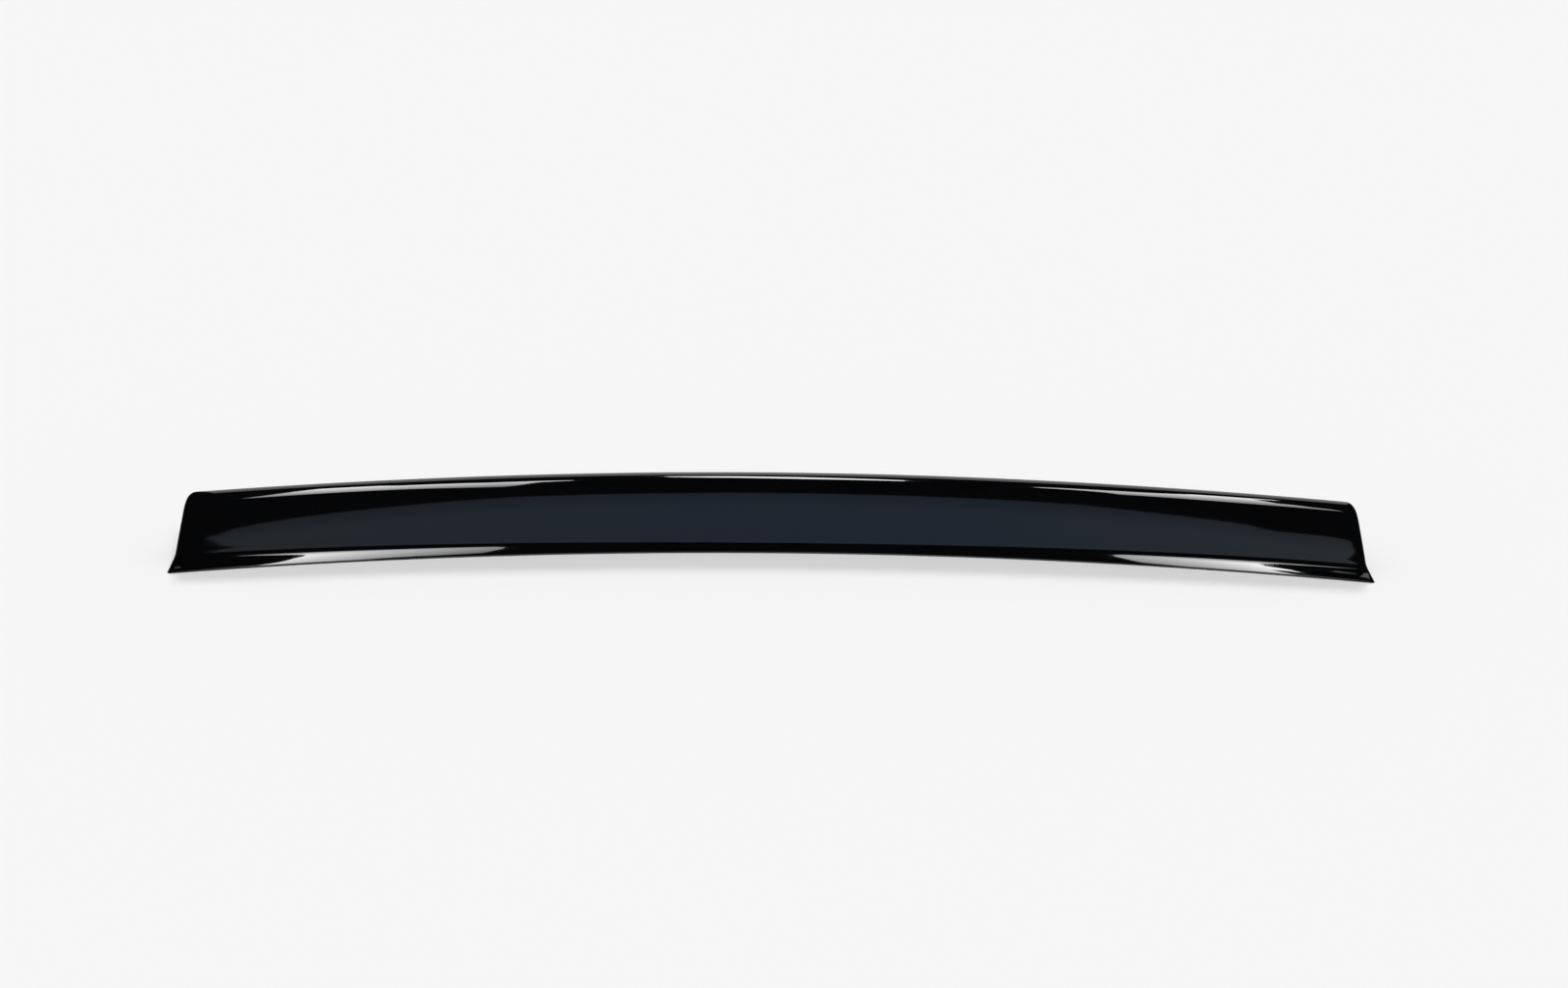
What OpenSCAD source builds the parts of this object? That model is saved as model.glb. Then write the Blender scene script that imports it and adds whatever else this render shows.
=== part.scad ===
// Tailgate spoiler: one gloss black moulding, hollow and open underneath, bonded to the tailgate by its base.
// X runs across the car, the front edge faces -Y, +Z is up. The base lies on Z = 0, under the middle of the
// part's box. The section changes from the middle to the ends, so the moulding is a loft: an outer skin and an
// inner skin with the same number of points, joined by the flat rim of the base.

/* [Overall] */
// Width over the two feet
spoiler_w = 1230; // [900:1:1500]
// How far the middle of the front edge lies behind its ends
bow = 72; // [15:1:140]

/* [Section] */
// Height of the crest at the middle
crest_h = 71.5; // [64:0.5:90]
// How much lower the crest lies at the ends
crest_drop = 7.5; // [0:0.5:10]
// Radius of the crest
crest_r = 21; // [10:0.5:24]
// How far the crest falls away behind its top before the trailing edge, in degrees
crest_fall = 20; // [5:1:45]
// Radius of the trailing edge, between the crest and the rear wall
tail_r = 6; // [4:0.5:12]
// Slope of the face at its foot, from the base
face_slope = 70; // [62:0.5:76]
// How much the face leans back from its foot to the crest, in degrees
face_crown = 6; // [1:0.5:12]
// Lean of the rear wall, from upright
rear_lean = 6; // [1:0.5:15]

/* [Flange along the front edge] */
// Width of the flange at the middle, up its slope
mid_flange_w = 6.5; // [3:0.5:12]
// Width of the flange at the ends, up its slope
end_flange_w = 14; // [6:0.5:20]
// Slope of the flange at the middle, from the base
mid_flange_slope = 50; // [20:0.5:55]
// Slope of the flange at the ends, where it lies almost flat
end_flange_slope = 10; // [2:0.5:40]
// Radius of the crease between the flange and the face
crease_r = 10; // [4:0.5:16]
// Thickness of the front edge
edge_t = 2; // [1:0.1:4]

/* [Ends] */
// Inward lean of the end walls, from upright
end_lean = 9.5; // [0:0.5:20]
// How far each foot flares out past its end wall
foot_flare = 3.5; // [0:0.5:10]
// Height over which the foot flares
foot_h = 12; // [5:0.5:30]
// Radius of the upright edge between the face and an end wall
end_edge_r = 5; // [4:0.5:10]
// Radius of the top corners, seen from the front
corner_r = 9; // [5:0.5:16]

/* [Shell] */
// Wall thickness
wall = 3; // [2:0.1:3.5]
// Width of the bonding land at the middle of the front edge
land_w = 8; // [5:0.5:12]
// Number of cross ribs in the hollow
rib_count = 9; // [1:1:13]
// Thickness of a rib at its free edge
rib_t = 1.8; // [1:0.1:4]
// Draft on each side of a rib, from its free edge to its root
rib_draft = 0.5; // [0.2:0.1:1]
// How far the free edge of a rib stays above the base
rib_gap = 4; // [1:0.5:12]

/* [Hidden] */

// Number of steps along each curved stretch of the outline and round the edges of the ends
CREASE_STEPS = 4;
FACE_STEPS = 3;
CREST_STEPS = 7;
TAIL_STEPS = 3;
END_ROUND_STEPS = 4;
// Distance to aim for from one ring of the loft to the next
RING_PITCH = 45;
// Heights on the rear wall, as shares of the height of the foot
REAR_ROWS = [1, 0.5, 0];
// Heights of the rings down an end wall, as shares of the height of the section
END_WALL_ROWS = [0.55, 0.22, 0.12, 0.05, 0];
// Share of the base line that the rings of an end wall leave behind at each side
WALL_CLOSING = 0.3;
// Smallest radius of an inside edge
MIN_INNER_R = 0.8;
// Largest radius of a top corner, as a share of the crest's
CORNER_LIMIT = 0.85;

half_w = spoiler_w / 2;
bow_r = (pow(half_w, 2) + pow(bow, 2)) / (2 * bow);
upper_slope = face_slope - face_crown;

// Points on an arc that starts at the origin: its tangent turns from slope a to slope b
function turn(r, a, b, steps) =
    let (side = b > a ? 1 : -1)
    [for (i = [0:steps]) let (t = a + (b - a) * i / steps)
        side * r * [sin(t) - sin(a), cos(a) - cos(t)]];

function shifted(points, by) = [for (p = points) p + by];
function last(list) = list[len(list) - 1];
function without_first(list) = [for (i = [1:len(list) - 1]) list[i]];
function lerp(a, b, t) = a + (b - a) * t;

// Sizes that change from the middle of the span, s = 0, to the ends, s = 1
function crest_height(s) = crest_h - crest_drop * s * s;
function flange_width(s) = lerp(mid_flange_w, end_flange_w, s * s);
function flange_slope(s) = lerp(mid_flange_slope, end_flange_slope, s * s);

// Crease that rises from the flange, and the radius of the face that carries the crest at its height
function crease(s) =
    shifted(turn(crease_r, flange_slope(s), face_slope, CREASE_STEPS),
            [0, edge_t] + flange_width(s) * [cos(flange_slope(s)), sin(flange_slope(s))]);
function face_r(s) =
    (crest_height(s) - crest_r * (1 - cos(upper_slope)) - last(crease(s))[1]) / (cos(upper_slope) - cos(face_slope));

// Outer outline of the section at s, from the front edge over the crest to the rear of the base, as [y, z]
function outer_outline(s) =
    let (face = shifted(turn(face_r(s), face_slope, upper_slope, FACE_STEPS), last(crease(s))),
         crest = shifted(turn(crest_r, upper_slope, -crest_fall, CREST_STEPS), last(face)),
         tail = shifted(turn(tail_r, -crest_fall, rear_lean - 90, TAIL_STEPS), last(crest)),
         rear_y = last(tail)[0] + last(tail)[1] * tan(rear_lean))
    concat([[0, 0], [0, edge_t]], crease(s), without_first(face), without_first(crest), without_first(tail),
           [for (row = REAR_ROWS) [rear_y - row * foot_h * tan(rear_lean), row * foot_h]]);

CREASE_END = CREASE_STEPS + 2;
FACE_END = CREASE_END + FACE_STEPS;
CREST_END = FACE_END + CREST_STEPS;
TAIL_END = CREST_END + TAIL_STEPS;
OUTLINE_END = TAIL_END + len(REAR_ROWS);

// Slope of the outline at point i of the face or behind it
function slope_at(i) =
    i <= FACE_END ? lerp(face_slope, upper_slope, (i - CREASE_END) / FACE_STEPS) :
    i <= CREST_END ? lerp(upper_slope, -crest_fall, (i - FACE_END) / CREST_STEPS) :
    i <= TAIL_END ? lerp(-crest_fall, rear_lean - 90, (i - CREST_END) / TAIL_STEPS) :
    rear_lean - 90;
// Direction into the material at point i
function inward(i) = [sin(slope_at(i)), -cos(slope_at(i))];

// Inner outline of the section at s: parallel to the face, crest and rear wall. Below the face it runs straight
// down to the base, behind the bonding land, which widens with the flange towards the ends.
function inner_outline(s) =
    let (outer = outer_outline(s),
         face_foot = outer[CREASE_END] + wall * inward(CREASE_END),
         land_y = max(land_w, face_foot[0] - face_foot[1] / tan(face_slope)),
         rear_wall = [-wall / cos(rear_lean), 0])
    [for (i = [0:OUTLINE_END])
        i < CREASE_END ? lerp([land_y, 0], face_foot, i / CREASE_END) :
        i <= TAIL_END ? outer[i] + wall * inward(i) : outer[i] + rear_wall];

// The outline closed down to the level z, where the hollow is filled by a rib or ends at an end wall
function closed_outline(outline, z) =
    [for (i = [0:OUTLINE_END])
        [lerp(outline[0][0], outline[OUTLINE_END][0], i / OUTLINE_END), i == 0 || i == OUTLINE_END ? 0 : z]];

// Half width at height z, with the inward lean of the ends and the flare of the feet
function half_width(z) =
    half_w - foot_flare - z * tan(end_lean) + foot_flare * pow(max(0, 1 - z / foot_h), 2);
function bow_y(x) = sqrt(pow(bow_r, 2) - pow(min(abs(x), half_w), 2)) - (bow_r - bow);
// Middle of the part's box from front to rear: from the corners of the feet to the rear wall's foot in the middle
y_middle = (bow_y(half_w - end_edge_r) + bow + outer_outline(0)[OUTLINE_END][0]) / 2;

// Span positions of the ribs and of the last ring before the ends round off
rib_pitch = spoiler_w / (rib_count + 1);
rib_root = rib_t / 2 + rib_draft;
function rib_x(k) = -half_w + rib_pitch * k;
run_end = half_w - 2 * corner_r;

// A ring of 3-D points: the outline at span position s, set back from the end wall by a distance for each point.
// Rings stand upright as far as the last rib, so the ribs draw out of a mould, and then take on the lean of the end.
function ring(outline, s, setback) =
    let (upright_end = rib_x(rib_count) + rib_root,
         lean_share = max(0, min(1, (abs(s) * half_w - upright_end) / (run_end - upright_end))))
    [for (i = [0:OUTLINE_END])
        let (y = outline[i][0], z = outline[i][1],
             x = s * lerp(half_w, half_width(z), lean_share) - sign(s) * (setback ? setback[i] : 0))
        [x, y + bow_y(x) - y_middle, z]];

// Direction in which point i of an end outline moves where the outline draws in round an end edge: level along
// the flange, the rear wall and the base, and towards the centre of the crest's arc above the face
end_crest_centre = outer_outline(1)[FACE_END] + crest_r * inward(FACE_END);
function draw_in(outline, i) =
    let (to_centre = end_crest_centre - outline[i], level = [1 / sin(slope_at(max(i, CREASE_END))), 0])
    i <= CREASE_END || i > TAIL_END ? level :
    i <= FACE_END ? lerp(level, inward(i), (i - CREASE_END) / FACE_STEPS) : to_centre / norm(to_centre);
function drawn_in(outline, by) = [for (i = [0:OUTLINE_END]) outline[i] + by[i] * draw_in(outline, i)];

// Radius of the end edges at each point of the outline, less the wall on the inside: it grows from the foot to
// the top corner, where the crest limits it
function end_radii(less) =
    let (top_r = min(corner_r, CORNER_LIMIT * crest_r))
    [for (p = outer_outline(1))
        max(MIN_INNER_R, lerp(end_edge_r, top_r, pow(p[1] / crest_height(1), 2)) - less)];

// Rings that close one end: round the edge, then down the end wall to the base
function end_rings(outline, side, less) =
    let (radii = end_radii(less), wall_outline = drawn_in(outline, radii))
    concat(
        [for (k = [0:END_ROUND_STEPS]) let (t = 90 * k / END_ROUND_STEPS)
            ring(drawn_in(outline, (1 - cos(t)) * radii), side, [for (r = radii) r * (1 - sin(t)) + less])],
        [for (f = END_WALL_ROWS)
            ring(lowered(wall_outline, f), side, [for (r = radii) less])]);
// The outline with its height cut to a share f, closing towards the middle of its line on the base
function lowered(outline, f) =
    let (front = outline[0][0], rear = outline[OUTLINE_END][0], advance = (1 - f) * WALL_CLOSING * (rear - front))
    [for (i = [0:OUTLINE_END])
        let (foot_y = lerp(front + advance, rear - advance, i / OUTLINE_END))
        [lerp(foot_y, outline[i][0], f), outline[i][1] * f]];
function reversed(list) = [for (i = [len(list) - 1:-1:0]) list[i]];

// Span positions of the rings between the ends, each with whether the hollow is open there
function bay(from, to) =
    let (steps = max(1, round((to - from) / RING_PITCH)))
    [for (k = [1:1:steps - 1]) [lerp(from, to, k / steps), true]];
function rib_stations(x) =
    [[x - rib_root, true], [x - rib_t / 2, false], [x + rib_t / 2, false], [x + rib_root, true]];
stations = concat(
    [[-run_end, true]],
    bay(-run_end, rib_x(1) - rib_root),
    [for (k = [1:rib_count])
        each concat(rib_stations(rib_x(k)),
                    bay(rib_x(k) + rib_root, k < rib_count ? rib_x(k + 1) - rib_root : run_end))],
    [[run_end, true]]);

outer_rings = concat(
    reversed(end_rings(outer_outline(1), -1, 0)),
    [for (st = stations) let (s = st[0] / half_w) ring(outer_outline(abs(s)), s)],
    end_rings(outer_outline(1), 1, 0));
inner_rings = concat(
    reversed(end_rings(inner_outline(1), -1, wall)),
    [for (st = stations) let (s = st[0] / half_w, hollow = inner_outline(abs(s)))
        ring(st[1] ? hollow : closed_outline(hollow, rib_gap), s)],
    end_rings(inner_outline(1), 1, wall));

// Two triangles across each cell of a grid of rings, cut so that the two halves of the part mirror each other
function skin(rings, columns, start) =
    [for (j = [0:rings - 2], i = [0:columns - 2])
        let (a = start + j * columns + i, b = a + 1, c = b + columns, d = a + columns)
        each (j < rings / 2) == (i < columns / 2) ? [[a, b, c], [a, c, d]] : [[a, b, d], [b, c, d]]];
function reversed_faces(faces) = [for (f = faces) [f[2], f[1], f[0]]];
// Two triangles across each step between two matching border loops
function rim(outer_loop, inner_loop) =
    [for (k = [0:len(outer_loop) - 1])
        let (n = (k + 1) % len(outer_loop), a = outer_loop[k], b = outer_loop[n],
             c = inner_loop[n], d = inner_loop[k])
        each [[a, c, b], [a, d, c]]];
// Point numbers round the border of a grid of rings
function border(rings, columns, start) =
    concat([for (i = [0:columns - 1]) start + i],
           [for (j = [1:rings - 1]) start + j * columns + columns - 1],
           [for (i = [columns - 2:-1:0]) start + (rings - 1) * columns + i],
           [for (j = [rings - 2:-1:1]) start + j * columns]);

module spoiler() {
    rings = len(outer_rings);
    columns = OUTLINE_END + 1;
    inner_start = rings * columns;
    color("#0b0c0e")
        polyhedron(
            points = [for (r = concat(outer_rings, inner_rings)) each r],
            faces = concat(
                skin(rings, columns, 0),
                reversed_faces(skin(rings, columns, inner_start)),
                rim(border(rings, columns, 0), border(rings, columns, inner_start))),
            convexity = 12);
}

spoiler();
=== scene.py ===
from math import cos, radians, sin, sqrt, tan

import bmesh
import bpy
from mathutils import Matrix, Vector


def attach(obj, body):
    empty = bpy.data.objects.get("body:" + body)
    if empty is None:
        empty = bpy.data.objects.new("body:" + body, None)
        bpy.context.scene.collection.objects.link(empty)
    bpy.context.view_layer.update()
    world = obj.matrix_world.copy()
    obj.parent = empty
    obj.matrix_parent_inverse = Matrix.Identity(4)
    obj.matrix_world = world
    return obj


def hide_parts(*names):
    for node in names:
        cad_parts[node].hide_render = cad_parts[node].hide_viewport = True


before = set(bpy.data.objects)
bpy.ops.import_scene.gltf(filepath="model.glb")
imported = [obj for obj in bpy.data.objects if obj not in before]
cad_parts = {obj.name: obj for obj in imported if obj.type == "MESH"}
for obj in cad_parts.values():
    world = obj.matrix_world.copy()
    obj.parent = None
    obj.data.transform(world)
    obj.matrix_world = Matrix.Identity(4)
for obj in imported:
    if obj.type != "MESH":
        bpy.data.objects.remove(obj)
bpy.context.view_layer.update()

# MOULDING
# The spoiler is one injection-moulded shell, open underneath: a front flange that twists from steep in the
# middle to almost flat at the feet, a tall crowned face, a soft crest and a rear wall. Outer skin and hollow
# are lofted alike, as the two mould halves are: sections drawn with spins, then extruded one into the next.
WIDTH, BOW = 1.230, 0.072
CREST_HEIGHT, CREST_DROP, CREST_RADIUS, CREST_FALL = 0.0715, 0.0075, 0.021, 20
TAIL_RADIUS, REAR_LEAN = 0.006, 6
FACE_SLOPE, FACE_CROWN = 70, 6
FLANGE_WIDTH, FLANGE_SLOPE, FLANGE_CROWN = (0.0065, 0.014), (50, 10), 8
CREASE_RADIUS, EDGE_THICKNESS, EDGE_RADIUS = 0.010, 0.002, 0.0012
END_LEAN, FOOT_FLARE, FOOT_HEIGHT = 9.5, 0.0035, 0.012
END_EDGE_RADIUS, CORNER_RADIUS, LEAST_RADIUS = 0.005, 0.009, 0.0008
END_TAPER, END_LEVELS = 0.3, (0.8, 0.6, 0.42, 0.28, 0.2, 0.14, 0.09, 0.05, 0.02, 0)
WALL, LAND_WIDTH = 0.003, 0.008
RIBS, RIB_THICKNESS, RIB_DRAFT, RIB_GAP = 9, 0.0018, 0.0005, 0.004

HALF = WIDTH / 2
BOW_RADIUS = (HALF ** 2 + BOW ** 2) / (2 * BOW)
UPPER_SLOPE = FACE_SLOPE - FACE_CROWN
EDGE_STEPS, FLANGE_STEPS, CREASE_STEPS, FACE_STEPS, CREST_STEPS, TAIL_STEPS, REAR_STEPS = 5, 5, 9, 12, 20, 9, 7
CREASE_END = 1 + EDGE_STEPS + FLANGE_STEPS + CREASE_STEPS
FACE_END = CREASE_END + FACE_STEPS
TAIL_END = FACE_END + CREST_STEPS + TAIL_STEPS
OUTLINE_END = TAIL_END + REAR_STEPS
SECTION_PITCH, SHARP_ANGLE = 0.012, 32


def mix(a, b, share):
    return a + (b - a) * share


def run(mesh, vert, dy, dz, steps):
    """Draws a straight stretch of an outline from vert and returns its last point."""
    for _ in range(steps):
        vert = bmesh.ops.extrude_vert_indiv(mesh, verts=[vert])["verts"][0]
        bmesh.ops.translate(mesh, verts=[vert], vec=(0, dy / steps, dz / steps))
    return vert


def turn(mesh, vert, radius, slope, new_slope, steps):
    """Spins vert along an arc whose slope goes from one angle to the other, and returns its last point."""
    side = 1 if new_slope > slope else -1
    angle = radians(slope)
    centre = vert.co + side * radius * Vector((0, -sin(angle), cos(angle)))
    made = bmesh.ops.spin(mesh, geom=[vert], cent=centre, axis=(1, 0, 0), angle=radians(new_slope - slope),
                          steps=steps, use_duplicate=False)
    return made["geom_last"][0]


def outer_section(s):
    """Points of the outer section at share s of the half span, from the front edge over to the rear foot."""
    width, slope = (mix(*pair, s * s) for pair in (FLANGE_WIDTH, FLANGE_SLOPE))
    start, end = slope + FLANGE_CROWN / 2, slope - FLANGE_CROWN / 2
    mesh = bmesh.new()
    vert = bmesh.ops.create_vert(mesh, co=(0, 0, 0))["vert"][0]
    arc_rise = EDGE_RADIUS * (cos(radians(start)) - cos(radians(90)))
    vert = run(mesh, vert, 0, EDGE_THICKNESS - arc_rise, 1)
    vert = turn(mesh, vert, EDGE_RADIUS, 90, start, EDGE_STEPS)
    vert = turn(mesh, vert, width / radians(FLANGE_CROWN), start, end, FLANGE_STEPS)
    vert = turn(mesh, vert, CREASE_RADIUS, end, FACE_SLOPE, CREASE_STEPS)
    rise = CREST_HEIGHT - CREST_DROP * s * s - CREST_RADIUS * (1 - cos(radians(UPPER_SLOPE))) - vert.co.z
    face_radius = rise / (cos(radians(UPPER_SLOPE)) - cos(radians(FACE_SLOPE)))
    vert = turn(mesh, vert, face_radius, FACE_SLOPE, UPPER_SLOPE, FACE_STEPS)
    vert = turn(mesh, vert, CREST_RADIUS, UPPER_SLOPE, -CREST_FALL, CREST_STEPS)
    vert = turn(mesh, vert, TAIL_RADIUS, -CREST_FALL, REAR_LEAN - 90, TAIL_STEPS)
    run(mesh, vert, vert.co.z * tan(radians(REAR_LEAN)), -vert.co.z, REAR_STEPS)
    points = [v.co.copy() for v in mesh.verts]
    mesh.free()
    return points


def slope_at(i):
    """Slope of the outline at point i of the face or behind it."""
    if i <= FACE_END:
        return mix(FACE_SLOPE, UPPER_SLOPE, (i - CREASE_END) / FACE_STEPS)
    if i <= FACE_END + CREST_STEPS:
        return mix(UPPER_SLOPE, -CREST_FALL, (i - FACE_END) / CREST_STEPS)
    return mix(-CREST_FALL, REAR_LEAN - 90, min(1, (i - FACE_END - CREST_STEPS) / TAIL_STEPS))


def inward(i):
    angle = radians(slope_at(i))
    return Vector((0, sin(angle), -cos(angle)))


def inner_section(s, closed=False):
    """The hollow's section at s, one wall inside the outer one, or its line just above the base at a rib."""
    outer = outer_section(s)
    foot = outer[CREASE_END] + WALL * inward(CREASE_END)
    land = Vector((0, max(LAND_WIDTH, foot.y - foot.z / tan(radians(FACE_SLOPE))), 0))
    rear_wall = Vector((0, -WALL / cos(radians(REAR_LEAN)), 0))
    points = [land.lerp(foot, i / CREASE_END) if i < CREASE_END else
              p + (WALL * inward(i) if i <= TAIL_END else rear_wall) for i, p in enumerate(outer)]
    if closed:
        ends = points[0], points[-1]
        points = [ends[0].lerp(ends[1], i / OUTLINE_END) + Vector((0, 0, RIB_GAP))
                  for i in range(OUTLINE_END + 1)]
        points[0], points[-1] = ends
    return points


def half_width(z):
    """Half width at height z, with the inward lean of the ends and the flare of the feet."""
    flare = FOOT_FLARE * max(0, 1 - z / FOOT_HEIGHT) ** 2
    return HALF - FOOT_FLARE - z * tan(radians(END_LEAN)) + flare


def bow_at(x):
    return sqrt(BOW_RADIUS ** 2 - min(abs(x), HALF) ** 2) - (BOW_RADIUS - BOW)


rib_pitch = WIDTH / (RIBS + 1)
rib_root = RIB_THICKNESS / 2 + RIB_DRAFT
rib_places = [-HALF + rib_pitch * (k + 1) for k in range(RIBS)]
upright_end = rib_places[-1] + rib_root
run_end = HALF - 2 * CORNER_RADIUS
end_outline = outer_section(1)
Y_MIDDLE = (bow_at(HALF - END_EDGE_RADIUS) + BOW + outer_section(0)[-1].y) / 2
end_crest_centre = end_outline[FACE_END] + CREST_RADIUS * inward(FACE_END)


def place(points, s, setbacks=None):
    """Sets a section in its place along the bow; sections stand upright up to the last rib, then lean."""
    lean = max(0, min(1, (abs(s) * HALF - upright_end) / (run_end - upright_end)))
    side = 1 if s > 0 else -1
    ring = []
    for i, p in enumerate(points):
        x = s * mix(HALF, half_width(p.z), lean) - (side * setbacks[i] if setbacks else 0)
        ring.append(Vector((x, p.y + bow_at(x) - Y_MIDDLE, p.z)))
    return ring


def draw_in(i, point):
    """Direction in which the end outline draws in round an end edge, as a vector in the section."""
    level = Vector((0, 1 / sin(radians(slope_at(max(i, CREASE_END)))), 0))
    if i <= CREASE_END or i > TAIL_END:
        return level
    if i <= FACE_END:
        return level.lerp(inward(i), (i - CREASE_END) / FACE_STEPS)
    return (end_crest_centre - point).normalized()


def end_rings(section, side, less):
    """Rings that close one end: round its edges, then down its leaning wall to the base."""
    rings, round_steps = [], 8
    end_crest = CREST_HEIGHT - CREST_DROP
    radii = [max(LEAST_RADIUS, mix(END_EDGE_RADIUS, CORNER_RADIUS, (p.z / end_crest) ** 2) - less)
             for p in end_outline]
    for k in range(round_steps + 1):
        t = radians(90 * k / round_steps)
        drawn = [p + radii[i] * (1 - cos(t)) * draw_in(i, p) for i, p in enumerate(section)]
        rings.append(place(drawn, side, [r * (1 - sin(t)) + less for r in radii]))
    for share in END_LEVELS:
        front, rear = drawn[0].y, drawn[-1].y
        advance = (1 - share) * END_TAPER * (rear - front)
        lowered = []
        for i, p in enumerate(drawn):
            even_y = mix(front + advance, rear - advance, i / OUTLINE_END)
            lowered.append(Vector((0, mix(even_y, p.y, share), p.z * share)))
        rings.append(place(lowered, side, [less] * len(lowered)))
    return rings


def bay(start, end):
    steps = max(1, round((end - start) / SECTION_PITCH))
    return [(mix(start, end, k / steps), False) for k in range(1, steps)]


stations, start = [(-run_end, False)], -run_end
for x in rib_places:
    stations += bay(start, x - rib_root)
    stations += [(x - rib_root, False), (x - RIB_THICKNESS / 2, True), (x + RIB_THICKNESS / 2, True),
                 (x + rib_root, False)]
    start = x + rib_root
stations += bay(start, run_end) + [(run_end, False)]


def loft(mesh, rings, material):
    """Extrudes the first ring through all the others and returns the border: front, rear and end lines."""
    verts = [bmesh.ops.create_vert(mesh, co=p)["vert"][0] for p in rings[0]]
    edges = [mesh.edges.new(pair) for pair in zip(verts, verts[1:])]
    faces, fronts, rears, first = [], verts[:1], verts[-1:], edges
    for ring in rings[1:]:
        made = bmesh.ops.extrude_edge_only(mesh, edges=edges)["geom"]
        fresh = {g for g in made if isinstance(g, bmesh.types.BMVert)}
        verts = [next(e.other_vert(v) for e in v.link_edges if e.other_vert(v) in fresh) for v in verts]
        for v, p in zip(verts, ring):
            v.co = p
        edges = [mesh.edges.get(pair) for pair in zip(verts, verts[1:])]
        faces += [g for g in made if isinstance(g, bmesh.types.BMFace)]
        fronts.append(verts[0])
        rears.append(verts[-1])
    for face in faces:
        face.material_index = material
    along = [[mesh.edges.get(pair) for pair in zip(line, line[1:])] for line in (fronts, rears)]
    return along + [first, edges]


outer_end, inner_end = outer_section(1), inner_section(1)
outer = end_rings(outer_end, -1, 0)[::-1]
outer += [place(outer_section(abs(x) / HALF), x / HALF) for x, _ in stations]
outer += end_rings(outer_end, 1, 0)
inner = end_rings(inner_end, -1, WALL)[::-1]
inner += [place(inner_section(abs(x) / HALF, closed), x / HALF) for x, closed in stations]
inner += end_rings(inner_end, 1, WALL)
mesh = bmesh.new()
for outside, inside in zip(loft(mesh, outer, 0), loft(mesh, inner, 1)):
    for face in bmesh.ops.bridge_loops(mesh, edges=outside + inside)["faces"]:
        face.material_index = 1
bmesh.ops.remove_doubles(mesh, verts=mesh.verts, dist=1e-6)
bmesh.ops.recalc_face_normals(mesh, faces=mesh.faces)
for face in mesh.faces:
    face.smooth = True
for edge in mesh.edges:
    edge.smooth = edge.calc_face_angle(0) < radians(SHARP_ANGLE)
data = bpy.data.meshes.new("spoiler_moulding")
mesh.to_mesh(data)
mesh.free()
spoiler = bpy.data.objects.new("spoiler_moulding", data)
bpy.context.collection.objects.link(spoiler)

# Deep black gloss: a black plastic under a clear coat. Both follow the moulding's slow waviness and the faint
# orange peel of a sprayed finish, and the plastic varies a little in tone and roughness.
gloss = bpy.data.materials.new("gloss_black_coat")
gloss.use_nodes = True
nodes, links = gloss.node_tree.nodes, gloss.node_tree.links
shader = nodes["Principled BSDF"]
shader.inputs["IOR"].default_value = 1.5
shader.inputs["Coat Weight"].default_value = 1.0
shader.inputs["Coat Roughness"].default_value = 0.02
shader.inputs["Coat IOR"].default_value = 1.5
place_node = nodes.new("ShaderNodeTexCoord")


def noise(scale, detail, roughness=0.5):
    node = nodes.new("ShaderNodeTexNoise")
    node.inputs["Scale"].default_value = scale
    node.inputs["Detail"].default_value = detail
    node.inputs["Roughness"].default_value = roughness
    links.new(place_node.outputs["Object"], node.inputs["Vector"])
    return node


def ranged(source, low, high):
    node = nodes.new("ShaderNodeMapRange")
    node.inputs["From Min"].default_value = 0.3
    node.inputs["From Max"].default_value = 0.7
    node.inputs["To Min"].default_value = low
    node.inputs["To Max"].default_value = high
    links.new(source, node.inputs["Value"])
    return node


depth = nodes.new("ShaderNodeValToRGB")
depth.color_ramp.elements[0].color = (0.0014, 0.0015, 0.0019, 1)
depth.color_ramp.elements[1].color = (0.0026, 0.0028, 0.0033, 1)
links.new(noise(14, 3).outputs["Fac"], depth.inputs["Fac"])
links.new(depth.outputs["Color"], shader.inputs["Base Color"])
links.new(ranged(noise(420, 4, 0.6).outputs["Fac"], 0.03, 0.07).outputs["Result"], shader.inputs["Roughness"])
waves = nodes.new("ShaderNodeBump")
waves.inputs["Strength"].default_value = 1.0
waves.inputs["Distance"].default_value = 0.00004
links.new(noise(24, 1).outputs["Fac"], waves.inputs["Height"])
peel = nodes.new("ShaderNodeBump")
peel.inputs["Strength"].default_value = 1.0
peel.inputs["Distance"].default_value = 0.000002
links.new(noise(330, 2).outputs["Fac"], peel.inputs["Height"])
links.new(waves.outputs["Normal"], peel.inputs["Normal"])
links.new(peel.outputs["Normal"], shader.inputs["Normal"])
links.new(peel.outputs["Normal"], shader.inputs["Coat Normal"])

# The hollow side is left as moulded: satin black with the fine even grain of a sandblasted mould core.
satin = bpy.data.materials.new("satin_black_core")
satin.use_nodes = True
nodes, links = satin.node_tree.nodes, satin.node_tree.links
shader = nodes["Principled BSDF"]
place_node = nodes.new("ShaderNodeTexCoord")
tone = nodes.new("ShaderNodeValToRGB")
tone.color_ramp.elements[0].color = (0.010, 0.0105, 0.012, 1)
tone.color_ramp.elements[1].color = (0.020, 0.021, 0.023, 1)
links.new(noise(35, 4).outputs["Fac"], tone.inputs["Fac"])
links.new(tone.outputs["Color"], shader.inputs["Base Color"])
links.new(ranged(noise(900, 3).outputs["Fac"], 0.38, 0.55).outputs["Result"], shader.inputs["Roughness"])
grain = nodes.new("ShaderNodeBump")
grain.inputs["Strength"].default_value = 0.5
grain.inputs["Distance"].default_value = 0.00005
links.new(noise(1600, 2).outputs["Fac"], grain.inputs["Height"])
links.new(grain.outputs["Normal"], shader.inputs["Normal"])

data.materials.append(gloss)
data.materials.append(satin)
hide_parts("spoiler")
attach(spoiler, "root")

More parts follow.
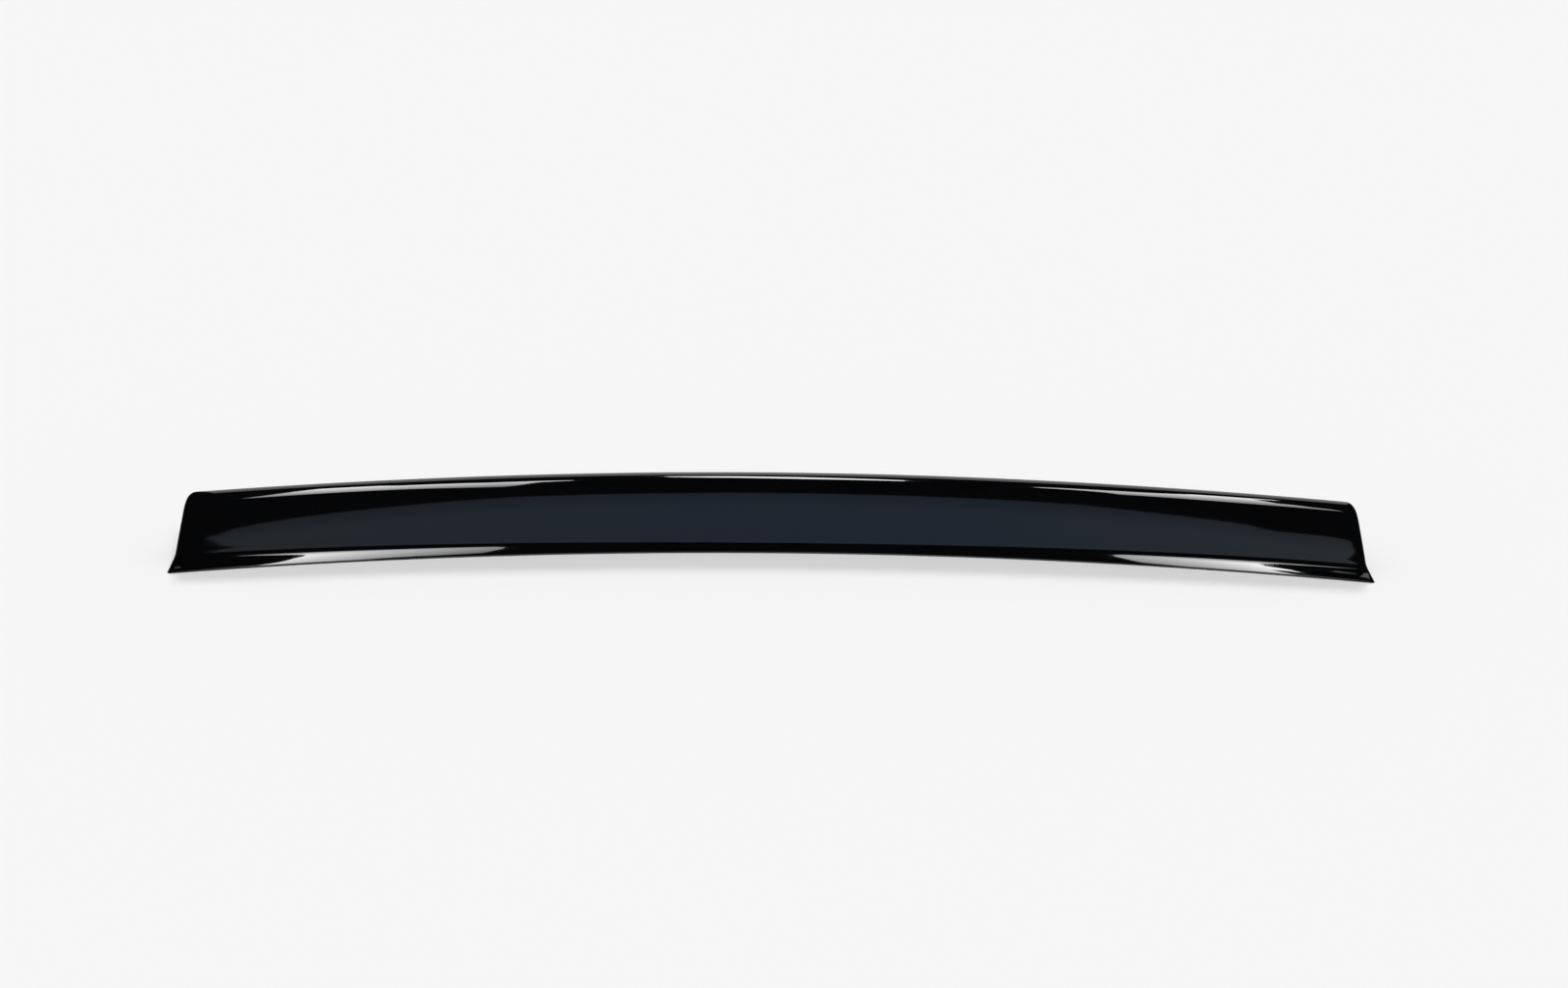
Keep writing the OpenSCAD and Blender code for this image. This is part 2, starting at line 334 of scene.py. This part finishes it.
# STUDIO
# The floor is a plain pale board that runs on behind the part. Soft light comes evenly from all round it.
FLOOR_REACH, SOFT_LIGHT, BACKDROP = 30, 0.38, 0.94
mesh = bmesh.new()
bmesh.ops.create_grid(mesh, x_segments=1, y_segments=1, size=FLOOR_REACH)
data = bpy.data.meshes.new("floor")
mesh.to_mesh(data)
mesh.free()
floor = bpy.data.objects.new("floor", data)
bpy.context.collection.objects.link(floor)
board = bpy.data.materials.new("pale_board")
board.use_nodes = True
shader = board.node_tree.nodes["Principled BSDF"]
shader.inputs["Base Color"].default_value = (0.93, 0.93, 0.93, 1)
shader.inputs["Roughness"].default_value = 0.9
shader.inputs["Specular IOR Level"].default_value = 0.0
data.materials.append(board)

world = bpy.data.worlds.new("studio_light")
world.use_nodes = True
nodes, links = world.node_tree.nodes, world.node_tree.links
nodes["Background"].inputs["Color"].default_value = (1, 1, 1, 1)
ray = nodes.new("ShaderNodeLightPath")
seen = nodes.new("ShaderNodeMath")
seen.operation = "MAXIMUM"
links.new(ray.outputs["Is Camera Ray"], seen.inputs[0])
links.new(ray.outputs["Is Glossy Ray"], seen.inputs[1])
seen_too = nodes.new("ShaderNodeMath")
seen_too.operation = "MAXIMUM"
links.new(seen.outputs["Value"], seen_too.inputs[0])
links.new(ray.outputs["Is Transmission Ray"], seen_too.inputs[1])
level = nodes.new("ShaderNodeMapRange")
level.inputs["To Min"].default_value = SOFT_LIGHT
level.inputs["To Max"].default_value = BACKDROP
links.new(seen_too.outputs["Value"], level.inputs["Value"])
links.new(level.outputs["Result"], nodes["Background"].inputs["Strength"])
bpy.context.scene.world = world
bpy.context.scene.view_settings.view_transform = "Standard"

# A soft key light from behind throws a short shadow forward, under the front edge; a wider fill light from the
# front keeps the board pale up to that edge.
for name, energy, angle, towards in (
        ("key_light", 1.27, 11, (0.03, 1, 0.8)),
        ("fill_light", 1.5, 30, (0.2, -1, 1.2))):
    lamp = bpy.data.lights.new(name, "SUN")
    lamp.energy = energy
    lamp.angle = radians(angle)
    item = bpy.data.objects.new(name, lamp)
    item.rotation_euler = Vector(towards).to_track_quat("Z", "Y").to_euler()
    item.visible_glossy = False
    bpy.context.collection.objects.link(item)

# The camera stands 3.5 m in front of the part, 20 degrees above the board, with a long lens.
ELEVATION, YAW, ROLL, DISTANCE, FOCAL_PIXELS = radians(20), radians(-2.0), radians(1.19), 3.5, 3470.88
SENSOR_WIDTH, PICTURE_WIDTH = 36, 1600
target = Vector((0.01016, 0, 0.06672))
back = Vector((sin(YAW) * cos(ELEVATION), -cos(YAW) * cos(ELEVATION), sin(ELEVATION)))
level_right = Vector((cos(YAW), sin(YAW), 0))
level_up = back.cross(level_right)
right = cos(ROLL) * level_right + sin(ROLL) * level_up
up = -sin(ROLL) * level_right + cos(ROLL) * level_up
camera = bpy.data.objects.new("camera", bpy.data.cameras.new("camera"))
bpy.context.collection.objects.link(camera)
facing = Matrix((right, up, back)).transposed().to_4x4()
camera.matrix_world = Matrix.Translation(target + DISTANCE * back) @ facing
camera.data.sensor_fit = "HORIZONTAL"
camera.data.sensor_width = SENSOR_WIDTH
camera.data.lens = SENSOR_WIDTH * FOCAL_PIXELS / PICTURE_WIDTH
camera.data.clip_end = 100
bpy.context.scene.camera = camera


def only_in_reflections(item):
    """Keeps a flag or lamp out of the picture and out of the soft light; only glossy surfaces mirror it."""
    item.visible_camera = False
    item.visible_diffuse = False
    item.visible_transmission = False
    item.visible_shadow = False


# Black flags stand round and above the set, so the gloss mirrors black wherever no card or lamp is.
FLAG_DISTANCE, FLAG_FOOT = 9, 0.3
mesh = bmesh.new()
bmesh.ops.create_uvsphere(mesh, u_segments=48, v_segments=24, radius=FLAG_DISTANCE)
bmesh.ops.bisect_plane(mesh, geom=mesh.verts[:] + mesh.edges[:] + mesh.faces[:], plane_co=(0, 0, FLAG_FOOT),
                       plane_no=(0, 0, 1), clear_inner=True)
data = bpy.data.meshes.new("black_flags")
mesh.to_mesh(data)
mesh.free()
flags = bpy.data.objects.new("black_flags", data)
bpy.context.collection.objects.link(flags)
cloth = bpy.data.materials.new("black_flag_cloth")
cloth.use_nodes = True
shader = cloth.node_tree.nodes["Principled BSDF"]
shader.inputs["Base Color"].default_value = (0, 0, 0, 1)
shader.inputs["Specular IOR Level"].default_value = 0.0
data.materials.append(cloth)
only_in_reflections(flags)


def glowing(name, strength):
    """Material of a lit card, and the emission node that its colour goes to."""
    paper = bpy.data.materials.new(name)
    paper.use_nodes = True
    nodes, links = paper.node_tree.nodes, paper.node_tree.links
    nodes.remove(nodes["Principled BSDF"])
    glow = nodes.new("ShaderNodeEmission")
    glow.inputs["Strength"].default_value = strength
    links.new(glow.outputs["Emission"], nodes["Material Output"].inputs["Surface"])
    return paper, glow


# An arched grey card stands low in front of the set, below the camera's line of sight; the tall face mirrors
# it as a long soft patch with one rounded end. It is dimmer along its top and bluer in the middle.
CARD_ENDS, CARD_Y, CARD_FOOT = (-0.381, 0.530), -1.2, 0.44
ARCH_X, ARCH_TOP, ARCH_BEND, LEVEL_TOP = 0.045, 0.822, 1.41, 0.632
TIP_START, TIP_HEIGHT = -0.33, 0.55
LIFT_START, LIFT = -0.29, 0.35
CORNER_START, CORNER_RISE = 0.44, 0.10
mesh = bmesh.new()
bmesh.ops.create_grid(mesh, x_segments=80, y_segments=8, size=1)
shade = mesh.loops.layers.uv.new("shade")
for v in mesh.verts:
    x = mix(*CARD_ENDS, (v.co.x + 1) / 2)
    arch = ARCH_TOP - ARCH_BEND * (x - ARCH_X) ** 2
    top = max(arch, LEVEL_TOP) if x > 0 else arch + LIFT * max(0, LIFT_START - x)
    left_rounding = sqrt(1 - max(0, (TIP_START - x) / (TIP_START - CARD_ENDS[0])) ** 2)
    foot = CARD_FOOT + CORNER_RISE * max(0, (x - CORNER_START) / (CARD_ENDS[1] - CORNER_START)) ** 2
    share = (v.co.y + 1) / 2
    v.co = Vector((x, CARD_Y, mix(TIP_HEIGHT, mix(foot, top, share), left_rounding)))
    for loop in v.link_loops:
        loop[shade].uv = ((x - CARD_ENDS[0]) / (CARD_ENDS[1] - CARD_ENDS[0]), (1 - share) * (top - foot))
data = bpy.data.meshes.new("grey_card")
mesh.to_mesh(data)
mesh.free()
card = bpy.data.objects.new("grey_card", data)
bpy.context.collection.objects.link(card)
paper, glow = glowing("lit_grey_paper", 1.0)
nodes, links = paper.node_tree.nodes, paper.node_tree.links
across = nodes.new("ShaderNodeUVMap")
across.uv_map = "shade"
parts = nodes.new("ShaderNodeSeparateXYZ")
links.new(across.outputs["UV"], parts.inputs["Vector"])
tint = nodes.new("ShaderNodeValToRGB")
links.new(parts.outputs["X"], tint.inputs["Fac"])
ramp = tint.color_ramp.elements
ramp[0].position, ramp[0].color = 0.06, (0.205, 0.245, 0.285, 1)
ramp[1].position, ramp[1].color = 0.94, (0.270, 0.320, 0.365, 1)
for position, colour in ((0.40, (0.160, 0.232, 0.345, 1)), (0.62, (0.165, 0.235, 0.345, 1))):
    ramp.new(position).color = colour
dim = nodes.new("ShaderNodeMapRange")
dim.inputs["From Max"].default_value = 0.12
dim.inputs["To Min"].default_value = 0.68
links.new(parts.outputs["Y"], dim.inputs["Value"])
links.new(tint.outputs["Color"], glow.inputs["Color"])
links.new(dim.outputs["Result"], glow.inputs["Strength"])
data.materials.append(paper)
only_in_reflections(card)

# A grey wall stands behind the set; the back of the crest mirrors it as a thin soft band.
WALL_ENDS, WALL_Y, WALL_FOOT, WALL_TOP = (-1.1, 1.6), 3.0, 0.01, 3.1
mesh = bmesh.new()
bmesh.ops.create_grid(mesh, x_segments=1, y_segments=1, size=1)
for v in mesh.verts:
    v.co = Vector((mix(*WALL_ENDS, (v.co.x + 1) / 2), WALL_Y, WALL_TOP if v.co.y > 0 else WALL_FOOT))
data = bpy.data.meshes.new("rear_wall")
mesh.to_mesh(data)
mesh.free()
wall = bpy.data.objects.new("rear_wall", data)
bpy.context.collection.objects.link(wall)
paper, glow = glowing("grey_wall_paper", 0.45)
data.materials.append(paper)
only_in_reflections(wall)


def soft_box(name, height, columns, near_level, far_level):
    """Hangs a soft box above the set, facing down. Columns give x and the near and far edge there, from left to
    right; its radiance grows from the nearest edge to the farthest."""
    mesh = bmesh.new()
    bmesh.ops.create_grid(mesh, x_segments=len(columns) - 1, y_segments=1, size=1)
    for v in mesh.verts:
        x, near, far = columns[round((v.co.x + 1) / 2 * (len(columns) - 1))]
        v.co = Vector((x, near if v.co.y < 0 else far, height))
    data = bpy.data.meshes.new(name)
    mesh.to_mesh(data)
    mesh.free()
    item = bpy.data.objects.new(name, data)
    bpy.context.collection.objects.link(item)
    cover, glow = glowing(name + "_cover", 1.0)
    nodes, links = cover.node_tree.nodes, cover.node_tree.links
    spot = nodes.new("ShaderNodeTexCoord")
    parts = nodes.new("ShaderNodeSeparateXYZ")
    links.new(spot.outputs["Object"], parts.inputs["Vector"])
    fade = nodes.new("ShaderNodeMapRange")
    fade.inputs["From Min"].default_value = min(near for _, near, _ in columns)
    fade.inputs["From Max"].default_value = max(far for _, _, far in columns)
    fade.inputs["To Min"].default_value = near_level
    fade.inputs["To Max"].default_value = far_level
    links.new(parts.outputs["Y"], fade.inputs["Value"])
    links.new(fade.outputs["Result"], glow.inputs["Strength"])
    data.materials.append(cover)
    only_in_reflections(item)


# A left and a right soft box, with a small one at the right one's edge, draw the long highlights along the
# crest and the flange; one more, higher and further back, draws the short one in the middle of the crest.
BOX_HEIGHT, REAR_BOX_HEIGHT = 0.75, 1.5
soft_box("left_box", BOX_HEIGHT, [
    (-0.528, -0.165, -0.130), (-0.502, -0.155, 0.290), (-0.470, -0.140, 0.290), (-0.430, -0.120, 0.285),
    (-0.400, -0.105, 0.215), (-0.350, -0.115, 0.205), (-0.315, -0.145, 0.185), (-0.290, -0.180, 0.165),
    (-0.240, -0.225, 0.180), (-0.232, 0.100, 0.185), (-0.200, 0.150, 0.180)], 1.5, 8.5)
soft_box("right_box", BOX_HEIGHT, [
    (0.305, 0.095, 0.125), (0.345, 0.060, 0.150), (0.368, 0.000, 0.150), (0.376, -0.110, 0.150),
    (0.440, -0.125, 0.170), (0.480, -0.155, 0.230), (0.510, -0.165, 0.310), (0.572, -0.165, 0.330),
    (0.576, 0.255, 0.330), (0.600, 0.300, 0.350), (0.625, 0.340, 0.365)], 2.0, 9.0)
soft_box("edge_box", BOX_HEIGHT, [
    (0.572, -0.165, 0.030), (0.590, -0.165, 0.020), (0.600, -0.165, -0.050), (0.648, -0.165, -0.150)], 2.0, 4.7)
soft_box("rear_box", REAR_BOX_HEIGHT, [
    (-0.10, 0.90, 0.92), (-0.09, 0.78, 0.92), (-0.03, 0.60, 0.92), (0.0, 0.56, 0.92), (0.08, 0.42, 0.81),
    (0.10, 0.42, 0.78), (0.20, 0.42, 0.62), (0.21, 0.58, 0.60)], 8, 8)
